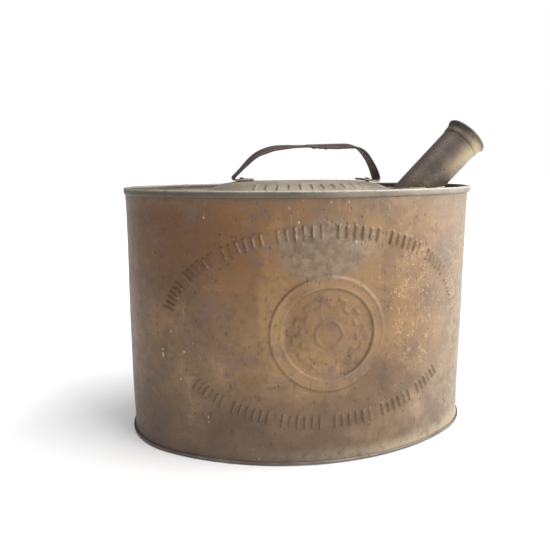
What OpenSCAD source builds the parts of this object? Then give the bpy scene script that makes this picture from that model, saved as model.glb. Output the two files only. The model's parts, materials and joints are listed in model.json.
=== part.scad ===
// Oval one-gallon oil can: soldered tinplate body, countersunk top,
// leaning filler spout and a flat strap handle.
// Frame: +X along the oval towards the spout, -Y is the embossed front, +Z up.
// Origin: centre of the oval in the plane that the can stands on. Millimetres.

/* [Body] */
// Width of the oval wall, along X
body_w = 236; // [220:1:250]
// Depth of the oval wall, along Y
body_d = 160; // [150:1:172]
// Height over both seams
can_h = 166; // [150:1:190]
// Radius of the oval's two end arcs
end_r = 60; // [56:1:66]
// Thickness of the tinplate
sheet_t = 0.5; // [0.4:0.05:0.6]

/* [Seams] */
// Clearance between the folded layers of a seam
seam_gap = 0.05; // [0.03:0.01:0.08]
// Height of the curled top seam
top_seam_h = 4.4; // [4:0.1:6]
// Height of the hem at the foot
foot_seam_h = 2.2; // [2:0.1:3]
// Height over which the wall flares out to the foot
flare_h = 7.5; // [6:0.1:9]

/* [Top and bottom panels] */
// Depth of the top panel below the seam's crest
top_sink = 3.8; // [3:0.1:5]
// Height of the bottom panel above the ground
bottom_rise = 4.5; // [3.5:0.1:6]
// Height of the crowned middle of the top above its border
dome_h = 7.4; // [5:0.1:8]
// Length of the crowned middle, along X
dome_w = 132; // [124:1:134]
// Depth of the crowned middle, along Y
dome_d = 92; // [84:1:100]
// Radius of the crowned middle's end arcs
dome_end_r = 38; // [36:1:40]
// Distance over which the crown rises, inwards from its outline
dome_run = 34; // [28:1:35]

/* [Embossing] */
// Outer radius of the embossed ring on the front
ring_r = 36; // [30:1:38]
// Width of the embossed ring
ring_w = 9; // [6:0.5:12]
// Height of the ring's centre above the ground
ring_z = 81.5; // [76:0.5:88]
// Half width of the two embossed arcs of bars, along the front
arcs_w = 101; // [90:1:104]
// Height of the upper arc's middle above the ring's centre
upper_arc_h = 61; // [54:1:64]
// Depth of the lower arc's middle below the ring's centre
lower_arc_h = 55; // [50:1:60]
// Height of the embossing above the sheet
emboss_h = 0.8; // [0.4:0.1:1]
// Width of one embossed bar
bar_w = 2; // [1.6:0.1:2.4]
// Length of one embossed bar
bar_l = 9; // [7:0.5:10]

/* [Spout] */
// Outer diameter of the spout tube
spout_od = 27; // [24:0.5:28]
// Lean of the spout from the vertical, in degrees
spout_lean = 44; // [40:1:48]
// Where the spout's axis crosses the plane of the top seam's crest, along X
spout_x = 90; // [88:0.5:91]
// Length of the spout from that plane to the middle of its rolled mouth
spout_len = 47; // [40:1:60]
// Length of the collar of the mouth ring
collar_l = 8; // [6:0.5:10]
// Outer diameter of the rolled mouth
mouth_od = 31; // [31:0.5:32]
// Thickness of the roll
roll_d = 2.4; // [2:0.2:2.4]

/* [Handle] */
// Width of the strap, along Y
strap_w = 16; // [10:0.5:18]
// Thickness of the strap
strap_t = 1.2; // [0.8:0.1:1.6]
// Height of the strap's top above the top seam's crest
handle_h = 28; // [26:1:32]
// Foot of the left leg, along X
left_foot_x = -46; // [-52:1:-44]
// Foot of the right leg, along X
right_foot_x = 55; // [50:1:56]
// Slope of the left leg, in degrees
left_leg_slope = 45; // [42:1:52]
// Rise of the grip towards the spout, in degrees
grip_tilt = 1.5; // [0:0.5:3]
// Length of each foot that lies flat on the top
foot_l = 10; // [8:1:12]
// Diameter of a rivet's head
rivet_head_d = 5; // [4:0.5:6]

/* [Hidden] */
$fn = 96;

// Offsets across the wall, positive outwards from the wall's outer face.
wall_in = -sheet_t;
layer = sheet_t + seam_gap;
chuck_out = wall_in - seam_gap;
chuck_in = chuck_out - sheet_t;
hook_in = 2 * layer + seam_gap;
seam_out = 3 * layer;
seam_round = 0.9;

// The top panel and the raised middle.
panel_z = can_h - top_sink;
dome_z = panel_z + dome_h;
bar_root = 0.3;
rivet_r = rivet_head_d / 4;
spout_r = spout_od / 2;

// The wall's foot: how far out it flares, and where its edge ends just clear of
// the bottom's fold.
foot_u = 2 * layer;
foot_edge_z = layer + 0.001;

// Pieces of one sheet that are drawn apart run into each other by this much.
lap = 0.1;
// Cutting shapes reach this far past what they cut.
past = 40;
// A plate starts this far inside the profile of its edge.
flat_in = 2;

// The side seams stand between these heights on the two end arcs.
side_lo = flare_h + 2;
side_hi = can_h - top_seam_h - 4;
// Half width of a seam, its folds' width, the clearance and the reach into the
// plain wall, in degrees round the end arc.
hook_half = 2.6;
fold = 0.5;
angle_gap = 0.08;
fold_root = 1;
// Width of a run of solder inside a side seam.
side_run = 1.2;

// A four-arc oval of half width a, half depth b and end radius r is
// [half distance between the end centres, distance from the middle to a side
// arc's centre, side radius, end radius, half angle of a side arc].
function oval(a, b, r) =
    let (c = a - r, d = b - r, k = (c * c - d * d) / (2 * d))
    [c, k, b + k, r, atan(c / k)];

BODY = oval(body_w / 2, body_d / 2, end_r);
DOME = oval(dome_w / 2, dome_d / 2, dome_end_r);

// Points on an arc, for a profile.
function arc(cx, cy, r, from, to, steps = 6) =
    [for (i = [0 : steps]) let (t = from + (to - from) * i / steps) [cx + r * cos(t), cy + r * sin(t)]];

// The four regions of the plane that an oval's arcs lie in, bounded by the lines
// through their centres, where neighbouring arcs meet square to those lines.
function side_region(o) = [[0, o[1]], [-4 * o[0], -3 * o[1]], [4 * o[0], -3 * o[1]]];
function end_region(o) = [[o[0], 0], [4 * o[0], -3 * o[1]], [4 * o[0], 3 * o[1]]];
function half_end_region(o) = [[o[0], 0], [4 * o[0], -3 * o[1]], [4 * o[0], 0]];

// A profile, drawn as [offset from the oval, height], turned about the centre of one
// arc and kept inside that arc's region.
module swept_region(centre, radius, region) {
    intersection() {
        translate(concat(centre, [0]))
            rotate_extrude()
                translate([radius, 0])
                    children();
        translate([0, 0, -past / 2])
            linear_extrude(can_h + past)
                polygon(region);
    }
}

// Sweeps a profile along the front half of an oval, from its left end to its right.
module sweep_half(o) {
    swept_region([0, o[1]], o[2], side_region(o))
        children();
    both_ends()
        swept_region([o[0], 0], o[3], half_end_region(o))
            children();
}

// Sweeps a profile all the way round an oval.
module sweep_oval(o) {
    for (side = [0, 1])
        mirror([0, side, 0])
            swept_region([0, o[1]], o[2], side_region(o))
                children();
    both_ends()
        swept_region([o[0], 0], o[3], end_region(o))
            children();
}

// Everything between an oval's two end regions.
function middle_region(o) = [
    [o[0], 0], [4 * o[0], -3 * o[1]], [-4 * o[0], -3 * o[1]],
    [-o[0], 0], [-4 * o[0], 3 * o[1]], [4 * o[0], 3 * o[1]]
];

// A flat plate with the outline of an oval, offset by u.
module oval_plate(o, u, z, t) {
    translate([0, 0, z])
        linear_extrude(t) {
            intersection() {
                translate([0, o[1]])
                    circle(r = o[2] + u);
                translate([0, -o[1]])
                    circle(r = o[2] + u);
                polygon(middle_region(o));
            }
            for (side = [0, 1])
                mirror([side, 0])
                    intersection() {
                        translate([o[0], 0])
                            circle(r = o[3] + u);
                        polygon(end_region(o));
                    }
        }
}

// Profile of the wall: folded over the top, flared and turned up at the foot.
module wall_profile() {
    top = can_h - layer;
    hook_end = can_h - top_seam_h + 2 * layer;
    polygon(concat(
        [[wall_in, flare_h], [wall_in, top - sheet_t]],
        arc(wall_in + sheet_t, top - sheet_t, sheet_t, 180, 90),
        arc(foot_u - sheet_t, top - sheet_t, sheet_t, 90, 0),
        [[foot_u, hook_end], [foot_u - sheet_t, hook_end]],
        [[foot_u - sheet_t, top - sheet_t], [0, top - sheet_t]],
        [[0, flare_h]],
        [for (i = [1 : 6]) flare_point(i / 6, 0)],
        [for (i = [6 : -1 : 1]) flare_point(i / 6, wall_in)]
    ));
}

// A point down the concave flare at the foot, offset across the sheet.
function flare_point(s, u) =
    [u + foot_u * s * s, flare_h - (flare_h - foot_edge_z) * s];

// One layer of a side seam in plan: a piece of a ring about the right end arc's centre.
module layer_plan(u_lo, u_hi, from, to) {
    far = 2 * BODY[3];
    intersection() {
        difference() {
            circle(r = BODY[3] + u_hi);
            circle(r = BODY[3] + u_lo);
        }
        polygon([[0, 0], [far * cos(from), far * sin(from)], [far * cos(to), far * sin(to)]]);
    }
}

// Raises the plan of a side seam at the right end arc.
module raise_seam() {
    translate([BODY[0], 0, side_lo])
        linear_extrude(side_hi - side_lo)
            children();
}

// Folded edges of the front sheet: turned in and hooked back.
module front_fold() {
    inner = wall_in - 2 * layer;
    raise_seam() {
        layer_plan(wall_in, 0, -fold_root, hook_half);
        layer_plan(inner, 0, hook_half - fold, hook_half);
        layer_plan(inner, inner + sheet_t, -hook_half, hook_half);
    }
}

// Folded edges of the back sheet: stepped in, passed under and hooked out.
module back_fold() {
    inner = wall_in - 3 * layer;
    start = hook_half + angle_gap;
    finish = -hook_half - angle_gap;
    raise_seam() {
        layer_plan(inner, 0, start, start + fold);
        layer_plan(inner, inner + sheet_t, finish - fold, start + fold);
        layer_plan(inner, chuck_out, finish - fold, finish);
        layer_plan(chuck_in, chuck_out, finish - fold, hook_half - fold - angle_gap);
    }
}

// Both ends of the can get the same fold, mirrored.
module both_ends() {
    children();
    mirror([1, 0, 0])
        children();
}

// The bars of an arc stand on an ellipse round the ring's centre: [start angle,
// end angle, height of the ellipse, number of places]. The last place of every
// group is left empty.
UPPER_ARC = [168, 12, upper_arc_h, 55];
LOWER_ARC = [217, 323, lower_arc_h, 41];
group = 7;

function bar_angle(a, i) = a[0] + (a[1] - a[0]) * i / (a[3] - 1);

// Puts a child that points out of the front at arc length s and height z.
module on_front(s, z) {
    side_len = BODY[2] * BODY[4] * PI / 180;
    over = max(abs(s) - side_len, 0);
    turn = sign(s) * (over > 0 ? BODY[4] + over / BODY[3] * 180 / PI : abs(s) / BODY[2] * 180 / PI);
    centre_x = over > 0 ? sign(s) * BODY[0] : 0;
    centre_y = over > 0 ? 0 : BODY[1];
    radius = over > 0 ? BODY[3] : BODY[2];
    translate([centre_x, centre_y, z])
        rotate([0, 0, turn])
            translate([0, -radius, 0])
                rotate([90, 0, 0])
                    children();
}

// One embossed bar, seen from the front and leaning by an angle.
module bar(lean) {
    rotate([0, 0, lean])
        translate([-bar_w / 2, -bar_l / 2, -bar_root])
            cube([bar_w, bar_l, bar_root + emboss_h]);
}

module bar_arc(a) {
    for (i = [0 : a[3] - 1]) if (i % group < group - 1) {
        t = bar_angle(a, i);
        on_front(arcs_w * cos(t), ring_z + a[2] * sin(t))
            bar(atan2(-a[2] * cos(t), arcs_w * sin(t)));
    }
}

// The embossed ring band, cut from the front arc of the wall.
module ring_band() {
    intersection() {
        swept_region([0, BODY[1]], BODY[2], side_region(BODY))
            translate([-bar_root, ring_z - ring_r - past])
                square([bar_root + emboss_h, 2 * (ring_r + past)]);
        translate([0, 0, ring_z])
            rotate([90, 0, 0])
                linear_extrude(body_d)
                    difference() {
                        circle(r = ring_r);
                        circle(r = ring_r - ring_w);
                    }
    }
}

module front_sheet() {
    color("#8a6a48") {
        sweep_half(BODY)
            wall_profile();
        both_ends()
            front_fold();
        ring_band();
        bar_arc(UPPER_ARC);
        bar_arc(LOWER_ARC);
    }
}

module back_sheet() {
    color("#7d5f41")
        difference() {
            union() {
                mirror([0, 1, 0])
                    sweep_half(BODY)
                        wall_profile();
                both_ends()
                    back_fold();
            }
            both_ends()
                raise_seam()
                    layer_plan(wall_in - seam_gap / 2, 1, -2 * fold_root, hook_half + angle_gap);
        }
}

// A run of solder along the inner corner of a side seam.
module side_solder() {
    finish = -hook_half - angle_gap - fold;
    raise_seam()
        layer_plan(wall_in - side_run, chuck_out, finish - side_run, finish);
}

module right_seam_solder() {
    color("#a7a79c")
        side_solder();
}

module left_seam_solder() {
    color("#a7a79c")
        mirror([1, 0, 0])
            side_solder();
}

// Profile of the top panel's edge: chuck wall, crest and the hook under the wall's fold.
module top_rim_profile() {
    low = can_h - top_seam_h;
    chamfer = 0.2;
    corner = 0.6;
    inside = chuck_in - flat_in;
    polygon(concat(
        [[inside, panel_z - sheet_t], [chuck_out - chamfer, panel_z - sheet_t], [chuck_out, panel_z]],
        [[chuck_out, can_h - sheet_t], [hook_in, can_h - sheet_t]],
        [[hook_in, low + sheet_t], [seam_gap + sheet_t, low + sheet_t]],
        [[seam_gap + sheet_t, can_h - layer - sheet_t - seam_gap]],
        [[seam_gap, can_h - layer - sheet_t - seam_gap]],
        [[seam_gap, low + chamfer], [seam_gap + chamfer, low]],
        arc(seam_out - seam_round, low + seam_round, seam_round, 270, 360),
        arc(seam_out - seam_round, can_h - seam_round, seam_round, 0, 90),
        arc(chuck_in + seam_round, can_h - seam_round, seam_round, 90, 180),
        [[chuck_in, panel_z + corner], [chuck_in - corner, panel_z], [inside, panel_z]]
    ));
}

// Height of the crown at a distance v inwards from its outline, and its slope.
function crown(v) = panel_z + dome_h * (1 - pow(1 - min(v / dome_run, 1), 3));
function crown_slope(v) = 3 * dome_h / dome_run * pow(1 - min(v / dome_run, 1), 2);

// Profile of the crown, drawn from its outline inwards.
module dome_profile() {
    steps = 10;
    upper = [for (i = [0 : steps]) let (v = dome_run * i / steps) [-v, crown(v)]];
    lower = [for (i = [steps : -1 : 0]) upper[i] - [0, sheet_t]];
    polygon(concat(upper, lower));
}

// Bars embossed in an arc along the front and the back of the crown.
module crown_bars() {
    count = 11;
    v = 8;
    step = 5;
    for (side = [0, 180], i = [0 : count - 1])
        rotate([0, 0, side])
            translate([0, DOME[1], 0])
                rotate([0, 0, (i - (count - 1) / 2) * step])
                    translate([0, v - DOME[2], crown(v)])
                        rotate([atan(crown_slope(v)), 0, 0])
                            bar(0);
}

// Puts a child on the spout's axis, at a distance from the crest plane.
module at_spout(v) {
    translate([spout_x, 0, can_h])
        rotate([0, spout_lean, 0])
            translate([0, 0, v])
                children();
}

// A cylinder along the spout's axis, between two distances from the crest plane.
module along_spout(r, from, to) {
    at_spout(from)
        cylinder(r = r, h = to - from);
}

module top_panel() {
    color("#85836c")
        difference() {
            union() {
                sweep_oval(BODY)
                    top_rim_profile();
                difference() {
                    oval_plate(BODY, chuck_in - flat_in + lap, panel_z - sheet_t, sheet_t);
                    oval_plate(DOME, -2 * lap, panel_z - past / 2, past);
                }
                sweep_oval(DOME)
                    dome_profile();
                oval_plate(DOME, lap - dome_run, dome_z - sheet_t, sheet_t);
                crown_bars();
            }
            along_spout(spout_r + seam_gap, -past, past / 2);
            rivet_holes();
        }
}

// Solder in the inner corner between the chuck wall's foot and the wall.
module top_seam_solder() {
    run_w = 1.6;
    color("#a7a79c")
        sweep_oval(BODY)
            polygon([
                [wall_in - seam_gap / 2, panel_z - sheet_t - run_w],
                [wall_in - seam_gap / 2, panel_z - sheet_t - seam_gap],
                [wall_in - run_w, panel_z - sheet_t - seam_gap]
            ]);
}

// Profile of the bottom panel's edge: down to the ground, out and up round the flared wall.
module bottom_rim_profile() {
    out = foot_u + seam_gap;
    rim = out + sheet_t;
    low = bottom_rise - sheet_t;
    under_bend = 0.7;
    ground_bend = 0.6;
    top_bend = 0.3;
    bevel = 0.2;
    polygon(concat(
        [[chuck_in - flat_in, low], [chuck_in - under_bend, low], [chuck_in, low - under_bend]],
        [[chuck_in, ground_bend], [chuck_in + ground_bend, 0]],
        arc(rim - seam_round, seam_round, seam_round, 270, 360),
        [[rim, foot_seam_h - bevel], [rim - bevel, foot_seam_h], [out, foot_seam_h]],
        [[out, sheet_t], [chuck_out, sheet_t], [chuck_out, bottom_rise - top_bend]],
        [[chuck_out - top_bend, bottom_rise], [chuck_in - flat_in, bottom_rise]]
    ));
}

module bottom_panel() {
    color("#5f6058") {
        sweep_oval(BODY)
            bottom_rim_profile();
        oval_plate(BODY, chuck_in - flat_in + lap, bottom_rise - sheet_t, sheet_t);
    }
}

// Solder that fills the wedge between the flared wall and the bottom's edge.
module bottom_seam_solder() {
    inner = chuck_out + seam_gap / 2;
    lo = 1;
    hi = bottom_rise - 0.4;
    flare_gap = 0.2;
    color("#a7a79c")
        sweep_oval(BODY)
            polygon([
                [inner, lo],
                [inner, hi],
                [wall_in - seam_gap / 5, hi],
                [wall_in + foot_u * pow((flare_h - lo) / (flare_h - layer), 2) - flare_gap, lo]
            ]);
}

// The tube: cut level with the underside of the top, square at the mouth.
module spout_tube() {
    below = panel_z - sheet_t - 1.5;
    mouth_gap = 2;
    color("#77684e")
        difference() {
            along_spout(spout_r, -past, spout_len - mouth_gap);
            along_spout(spout_r - sheet_t, -2 * past, spout_len + past);
            translate([0, -body_d / 2, below - can_h])
                cube([body_w, body_d, can_h]);
        }
}

// The mouth ring: collar over the tube, concave flare and a rolled lip.
module spout_mouth_ring() {
    in_r = spout_r + seam_gap;
    out_r = in_r + sheet_t;
    roll_r = roll_d / 2;
    roll_c = mouth_od / 2 - roll_r;
    flare_r = 3;
    flare_v = -roll_r - 2.6;
    lip_h = 0.8;
    start = -collar_l + roll_r;
    color("#7d7055")
        at_spout(spout_len)
            rotate_extrude()
                polygon(concat(
                    [[in_r, start], [out_r, start]],
                    arc(out_r + flare_r, flare_v, flare_r, 180, 140, 5),
                    arc(roll_c, 0, roll_r, -60, 180, 16),
                    [[roll_c - roll_r, -lip_h], [in_r, -2 * lip_h]]
                ));
}

// Fillet of solder between the leaning tube and the level top panel.
module spout_base_solder() {
    fillet_w = 1.4;
    fillet_h = 1.3;
    color("#a7a79c")
        intersection() {
            difference() {
                along_spout(spout_r + fillet_w, -past, past);
                along_spout(spout_r, -2 * past, 2 * past);
            }
            translate([0, -body_d / 2, panel_z])
                cube([body_w, body_d, fillet_h]);
        }
}

// Thin run of solder at the lower edge of the mouth ring's collar.
module mouth_ring_solder() {
    start = -collar_l + roll_d / 2;
    run_h = 0.7;
    color("#6b5f47")
        at_spout(spout_len + start)
            rotate_extrude()
                polygon([[spout_r, 0], [spout_r, -run_h], [spout_r + sheet_t, 0]]);
}

// Each foot lies along the crown's tangent at its rivet. For side = -1 (left)
// or 1 (right): the rivet's distance from the middle, its height and its slope.
function rivet_x(side) = (side < 0 ? -left_foot_x : right_foot_x) - foot_l / 2 - 1;
function rivet_z(side) = crown(dome_w / 2 - rivet_x(side)) + seam_gap;
function rivet_slope(side) = atan(crown_slope(dome_w / 2 - rivet_x(side)));

// A point of a foot, at a distance outwards from its rivet and a height above the crown.
function foot_point(side, out, up) =
    let (t = rivet_slope(side))
    [side * (rivet_x(side) + out * cos(t) + up * sin(t)), rivet_z(side) - out * sin(t) + up * cos(t)];

// Centre of an arc of radius r that rounds the corner, from above, between a line
// through p at angle a and a line through q at angle b.
function corner_centre(p, a, q, b, r) =
    let (
        m = [sin(a), -cos(a)],
        n = [sin(b), -cos(b)],
        det = m[0] * n[1] - n[0] * m[1],
        dp = r + p * m,
        dq = r + q * n
    )
    [(dp * n[1] - dq * m[1]) / det, (m[0] * dq - n[0] * dp) / det];

// The strap's left leg starts this far beside and above the middle of its fold and
// ends in a round shoulder.
knee_out = 1.5;
knee_up = 3;
shoulder_r = 34;

// The strap's right leg is a shallow arc between these two angles.
leg_r = 45;
leg_lo = 15;
leg_hi = 40;

// Middle line of the strap in the XZ plane, from the left foot to the right foot.
function handle_line() =
    let (
        mid = strap_t / 2,
        half = foot_l / 2,
        fold_r = 1.4,
        top = can_h + handle_h - mid,
        left_c = foot_point(-1, half, mid + fold_r),
        left_t = 270 + rivet_slope(-1),
        left_end = 156,
        knee = left_c + [knee_out, knee_up],
        right_c = foot_point(1, half, mid + fold_r),
        right_t = -90 - rivet_slope(1),
        right_end = leg_lo - 12,
        leg_c = right_c - (leg_r - fold_r) * [cos(leg_lo), sin(leg_lo)],
        bend_r = (top - leg_c[1] - leg_r * sin(leg_hi)) / (1 - sin(leg_hi)),
        bend_c = leg_c + (leg_r - bend_r) * [cos(leg_hi), sin(leg_hi)],
        grip_end = bend_c + bend_r * [-sin(grip_tilt), cos(grip_tilt)],
        shoulder_c = corner_centre(knee, left_leg_slope, grip_end, grip_tilt, shoulder_r)
    )
    concat(
        [foot_point(-1, -half, mid)],
        arc(left_c[0], left_c[1], fold_r, left_t, left_end, 8),
        [knee],
        arc(shoulder_c[0], shoulder_c[1], shoulder_r, 90 + left_leg_slope, 90 + grip_tilt, 10),
        arc(bend_c[0], bend_c[1], bend_r, 90 + grip_tilt, leg_hi, 8),
        arc(leg_c[0], leg_c[1], leg_r, leg_hi - 3, leg_lo, 8),
        arc(right_c[0], right_c[1], fold_r, right_end, right_t, 8),
        [foot_point(1, -half, mid)]
    );

// The direction across the strap at a point of its middle line.
function normal_at(p, i) =
    let (
        a = p[max(i - 1, 0)],
        b = p[min(i + 1, len(p) - 1)],
        d = (b - a) / norm(b - a)
    )
    [-d[1], d[0]];

module handle_strap() {
    p = handle_line();
    n = len(p) - 1;
    color("#3a2626")
        difference() {
            rotate([90, 0, 0])
                linear_extrude(strap_w, center = true)
                    polygon(concat(
                        [for (i = [0 : n]) p[i] + normal_at(p, i) * strap_t / 2],
                        [for (i = [n : -1 : 0]) p[i] - normal_at(p, i) * strap_t / 2]
                    ));
            rivet_holes();
        }
}

// Puts a child at each rivet, standing square on the foot.
module at_rivets() {
    for (side = [-1, 1])
        translate([side * rivet_x(side), 0, rivet_z(side)])
            rotate([0, side * rivet_slope(side), 0])
                children();
}

module rivet_holes() {
    below = 1.5;
    above = 1.7;
    hole_gap = 0.02;
    at_rivets()
        translate([0, 0, -below])
            cylinder(r = rivet_r + hole_gap, h = below + above);
}

// Two rivets through the strap's feet and the top panel.
module handle_rivets() {
    head_h = 1;
    ball_r = (head_h * head_h + rivet_head_d * rivet_head_d / 4) / (2 * head_h);
    tail = sheet_t + 3 * seam_gap;
    tail_h = 0.8;
    tail_r = rivet_head_d / 2 - 0.3;
    sunk = tail_h / 2;
    color("#4a3a34")
        at_rivets() {
            translate([0, 0, -tail - tail_h])
                cylinder(r = tail_r, h = tail_h);
            translate([0, 0, -tail - sunk])
                cylinder(r = rivet_r, h = sunk + tail + strap_t + sunk);
            translate([0, 0, strap_t + seam_gap / 5])
                rotate_extrude()
                    intersection() {
                        translate([0, head_h - ball_r])
                            circle(r = ball_r);
                        square([rivet_head_d / 2, head_h]);
                    }
        }
}

// Solder that fills the wedge under each foot and rises along its inner end.
module handle_foot_solder() {
    inner_end = -foot_l / 2 - seam_gap;
    run_l = 2;
    floor_z = dome_z + seam_gap / 2;
    color("#a7a79c")
        for (side = [-1, 1]) {
            inner = foot_point(side, inner_end, 0);
            inner_top = foot_point(side, inner_end, strap_t);
            rotate([90, 0, 0])
                linear_extrude(strap_w, center = true)
                    polygon([inner, inner_top, [inner[0] - side * run_l, floor_z], [inner[0], floor_z]]);
        }
}

front_sheet();
back_sheet();
left_seam_solder();
right_seam_solder();
top_panel();
top_seam_solder();
bottom_panel();
bottom_seam_solder();
spout_tube();
spout_mouth_ring();
spout_base_solder();
mouth_ring_solder();
handle_strap();
handle_rivets();
handle_foot_solder();
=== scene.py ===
"""An old oval one-gallon oil can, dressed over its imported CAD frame.

Lengths in the mesh code are millimetres; make_piece turns them into metres.
s is the distance along the oval wall from the middle of the front, positive
towards the spout, and u is the offset outwards from the wall's outer face.
"""

import json
import math

import bmesh
import bpy
import numpy as np
from mathutils import Matrix, Vector


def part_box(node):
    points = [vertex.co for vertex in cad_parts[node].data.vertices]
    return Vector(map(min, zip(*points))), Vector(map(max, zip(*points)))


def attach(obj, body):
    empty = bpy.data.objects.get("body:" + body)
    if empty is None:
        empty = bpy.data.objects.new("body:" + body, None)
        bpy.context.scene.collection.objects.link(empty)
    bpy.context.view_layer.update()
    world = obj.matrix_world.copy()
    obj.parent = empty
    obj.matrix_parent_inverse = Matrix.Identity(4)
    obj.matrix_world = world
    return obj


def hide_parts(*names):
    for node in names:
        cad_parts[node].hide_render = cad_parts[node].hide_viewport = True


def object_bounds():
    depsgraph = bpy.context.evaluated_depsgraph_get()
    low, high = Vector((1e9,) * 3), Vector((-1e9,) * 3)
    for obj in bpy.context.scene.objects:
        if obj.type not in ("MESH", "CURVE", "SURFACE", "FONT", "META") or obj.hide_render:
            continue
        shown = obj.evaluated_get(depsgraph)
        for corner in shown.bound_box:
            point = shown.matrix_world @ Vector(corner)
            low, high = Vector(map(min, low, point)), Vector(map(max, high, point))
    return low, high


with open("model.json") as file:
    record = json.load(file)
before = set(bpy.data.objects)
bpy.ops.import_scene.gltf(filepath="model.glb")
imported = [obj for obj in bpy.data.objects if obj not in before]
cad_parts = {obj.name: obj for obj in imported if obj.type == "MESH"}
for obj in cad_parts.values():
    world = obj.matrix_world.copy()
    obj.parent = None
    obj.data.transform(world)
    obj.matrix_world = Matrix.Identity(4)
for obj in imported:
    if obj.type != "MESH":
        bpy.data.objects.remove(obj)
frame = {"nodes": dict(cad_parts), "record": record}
cad_lo, cad_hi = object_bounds()

MM = 0.001


def box_mm(node):
    """Lowest and highest corner of a CAD node, in millimetres."""
    lo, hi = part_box(node)
    return np.array(lo) / MM, np.array(hi) / MM


# ---------------- sizes

TOP_HI = box_mm("top_panel")[1]
SHEET = 0.5
SKIN_GAP = 0.3
SEAM_GAP = 0.05
SEAM_OUT = 1.65
BEND = 0.9
SEAM_H = 4.4
PANEL_Z = 162.2
CREST_Z = round(box_mm("front_sheet")[1][2] + SHEET + SEAM_GAP)
SEAM_LOW = CREST_Z - SEAM_H
DOME_TOP = 169.6
DOME_SAG = 0.25
CHUCK_IN = -1.05
CHUCK_OUT = -0.55
FOOT_U = 1.1
FLARE_H = 7.5
FOOT_Z = 0.551
HEM_H = 2.2
BOTTOM_Z = 4.5
BOTTOM_SKIN_Z = BOTTOM_Z + 0.9
LAP = 2.7
LAP_GAP = 0.06


class Oval:
    """A four-arc oval: half width a, half depth b, end radius r."""

    def __init__(self, a, b, r):
        c = a - r
        d = b - r
        self.c = c
        self.k = (c * c - d * d) / (2 * d)
        self.side_r = b + self.k
        self.end_r = r
        self.beta = math.atan2(c, self.k)
        self.side = self.side_r * self.beta
        self.quarter = self.side + r * (math.pi / 2 - self.beta)
        self.length = 4 * self.quarter

    def at(self, s, u):
        """Points at distances s along the oval, offset outwards by u."""
        q = np.mod(s, self.length)
        quad = np.minimum((q // self.quarter).astype(int), 3)
        t = np.choose(quad, [q, 2 * self.quarter - q, q - 2 * self.quarter, self.length - q])
        on_side = t <= self.side
        angle = np.where(on_side, t / self.side_r, self.beta + (t - self.side) / self.end_r)
        radius = np.where(on_side, self.side_r, self.end_r) + u
        x = np.where(on_side, 0.0, self.c) + radius * np.sin(angle)
        y = np.where(on_side, self.k, 0.0) - radius * np.cos(angle)
        right = np.choose(quad, [1, 1, -1, -1])
        front = np.choose(quad, [1, -1, -1, 1])
        return x * right, y * front


BODY = Oval(round(TOP_HI[0] - SEAM_OUT), round(TOP_HI[1] - SEAM_OUT), 60)
DOME = Oval(66, 46, 38)
DOME_RUN = 34
DOME_H = 7.4


def smooth(x):
    """0 below 0, 1 above 1, and a smooth step in between."""
    x = np.clip(x, 0, 1)
    return x * x * (3 - 2 * x)


def waves(a, b, seed, count=7):
    """Gentle unevenness between about -1 and 1 over the plane (a, b)."""
    rng = np.random.RandomState(seed)
    total = np.zeros(np.broadcast(a, b).shape)
    for _ in range(count):
        turn = rng.uniform(0, 2 * math.pi)
        rate = rng.uniform(0.5, 1.6)
        phase = rng.uniform(0, 2 * math.pi)
        total += np.sin(rate * (a * math.cos(turn) + b * math.sin(turn)) + phase)
    return total / math.sqrt(count) / 1.4


# ---------------- meshes


def grid_faces(rows, cols, wrap, start=0):
    """Quads between the vertices of a grid, closed along the columns if wrap."""
    r = np.arange(rows - 1)
    c = np.arange(cols if wrap else cols - 1)
    r, c = np.meshgrid(r, c, indexing="ij")
    d = (c + 1) % cols
    quads = [r * cols + c, r * cols + d, (r + 1) * cols + d, (r + 1) * cols + c]
    return (np.stack(quads, -1).reshape(-1, 4) + start).tolist()


def edge_faces(outer, inner, picks, wrap):
    """Narrow faces between a fine border and a coarse one that meets it at picks."""
    faces = []
    count = len(picks) if wrap else len(picks) - 1
    for i in range(count):
        a = picks[i]
        b = picks[(i + 1) % len(picks)]
        if b <= a:
            b += len(outer)
        run = [outer[j % len(outer)] for j in range(a, b + 1)]
        faces.append(run + [inner[(i + 1) % len(inner)], inner[i]])
    return faces


def picks_of(count, step):
    """Every step-th index of an open border, and the last one too."""
    picks = list(range(0, count, step))
    if picks[-1] != count - 1:
        picks.append(count - 1)
    return picks


def ring_faces(rows, cols):
    """Quads of a grid that is closed along both its columns and its rows."""
    last = (rows - 1) * cols
    closing = [[last + i, last + (i + 1) % cols, (i + 1) % cols, i] for i in range(cols)]
    return grid_faces(rows, cols, True) + closing


def sealed(outer, inner, picks, outer_hub, inner_hub):
    """Two round grids that meet at their first rows and each close on a middle point."""
    n, cols = outer.shape[:2]
    rows, m = inner.shape[:2]
    start = n * cols
    hub = start + rows * m
    faces = grid_faces(n, cols, True) + grid_faces(rows, m, True, start)
    faces += edge_faces(list(range(cols)), list(range(start, start + m)), picks, True)
    faces += [[start - cols + i, start - cols + (i + 1) % cols, hub] for i in range(cols)]
    faces += [[hub - m + i, hub - m + (i + 1) % m, hub + 1] for i in range(m)]
    middle = [(0, 0, outer_hub), (0, 0, inner_hub)]
    return np.concatenate([outer.reshape(-1, 3), inner.reshape(-1, 3), middle]), faces


def capped(rows, cols, start):
    """Quads of a round grid with a flat face at each end."""
    ends = [[start + row * cols + i for i in range(cols)] for row in (0, rows - 1)]
    return grid_faces(rows, cols, True, start) + ends


def full_turn(count):
    """Even angles round a full turn."""
    return np.linspace(0, 2 * math.pi, count, endpoint=False)


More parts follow.
